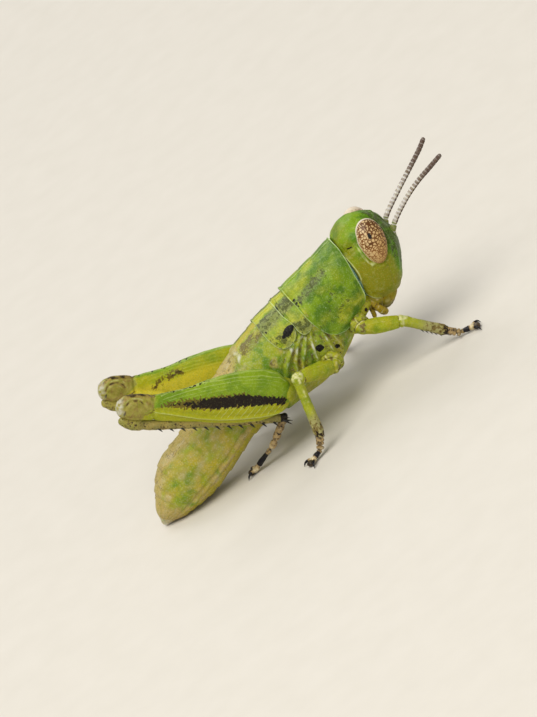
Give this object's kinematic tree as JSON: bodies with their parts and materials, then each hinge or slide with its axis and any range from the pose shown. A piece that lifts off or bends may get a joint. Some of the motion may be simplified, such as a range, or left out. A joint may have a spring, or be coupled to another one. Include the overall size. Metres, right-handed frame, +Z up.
{
  "type": "grasshopper nymph",
  "caption": "Young green short-horned locust at life size, standing on its feet and the tip of its abdomen, jumping legs folded and feelers forward.",
  "frame": {"origin": "on the floor, under the middle of the insect's overall box", "axes": "+X towards the head, +Y to the insect's left, +Z up"},
  "size_m": [0.0136, 0.0072, 0.0053],
  "materials": {
    "green_cuticle": "satin",
    "olive_cuticle": "satin",
    "banded_horn": "satin",
    "eye": "gloss"
  },
  "bodies": {
    "root": {"head": "green_cuticle", "mouthparts": "olive_cuticle", "pronotum": "green_cuticle", "prosternum": "olive_cuticle", "thorax": "green_cuticle", "abdomen_front": "olive_cuticle", "abdomen_middle": "olive_cuticle", "abdomen_rear": "olive_cuticle", "abdomen_tip": "olive_cuticle", "eye_right": "eye", "eye_left": "eye", "antenna_right": "banded_horn", "antenna_left": "banded_horn", "wing_pad_fore_right": "green_cuticle", "wing_pad_fore_left": "green_cuticle", "wing_pad_hind_right": "green_cuticle", "wing_pad_hind_left": "green_cuticle", "leg_fore_right_coxa": "green_cuticle", "leg_fore_right_femur": "green_cuticle", "leg_fore_right_tibia": "green_cuticle", "leg_fore_right_tarsus": "banded_horn", "leg_fore_left_coxa": "green_cuticle", "leg_fore_left_femur": "green_cuticle", "leg_fore_left_tibia": "green_cuticle", "leg_fore_left_tarsus": "banded_horn", "leg_mid_right_coxa": "green_cuticle", "leg_mid_right_femur": "green_cuticle", "leg_mid_right_tibia": "green_cuticle", "leg_mid_right_tarsus": "banded_horn", "leg_mid_left_coxa": "green_cuticle", "leg_mid_left_femur": "green_cuticle", "leg_mid_left_tibia": "green_cuticle", "leg_mid_left_tarsus": "banded_horn", "leg_hind_right_coxa": "green_cuticle", "leg_hind_right_femur": "green_cuticle", "leg_hind_right_tibia": "olive_cuticle", "leg_hind_right_tarsus": "banded_horn", "leg_hind_left_coxa": "green_cuticle", "leg_hind_left_femur": "green_cuticle", "leg_hind_left_tibia": "olive_cuticle", "leg_hind_left_tarsus": "banded_horn"}
  },
  "joints": []
}
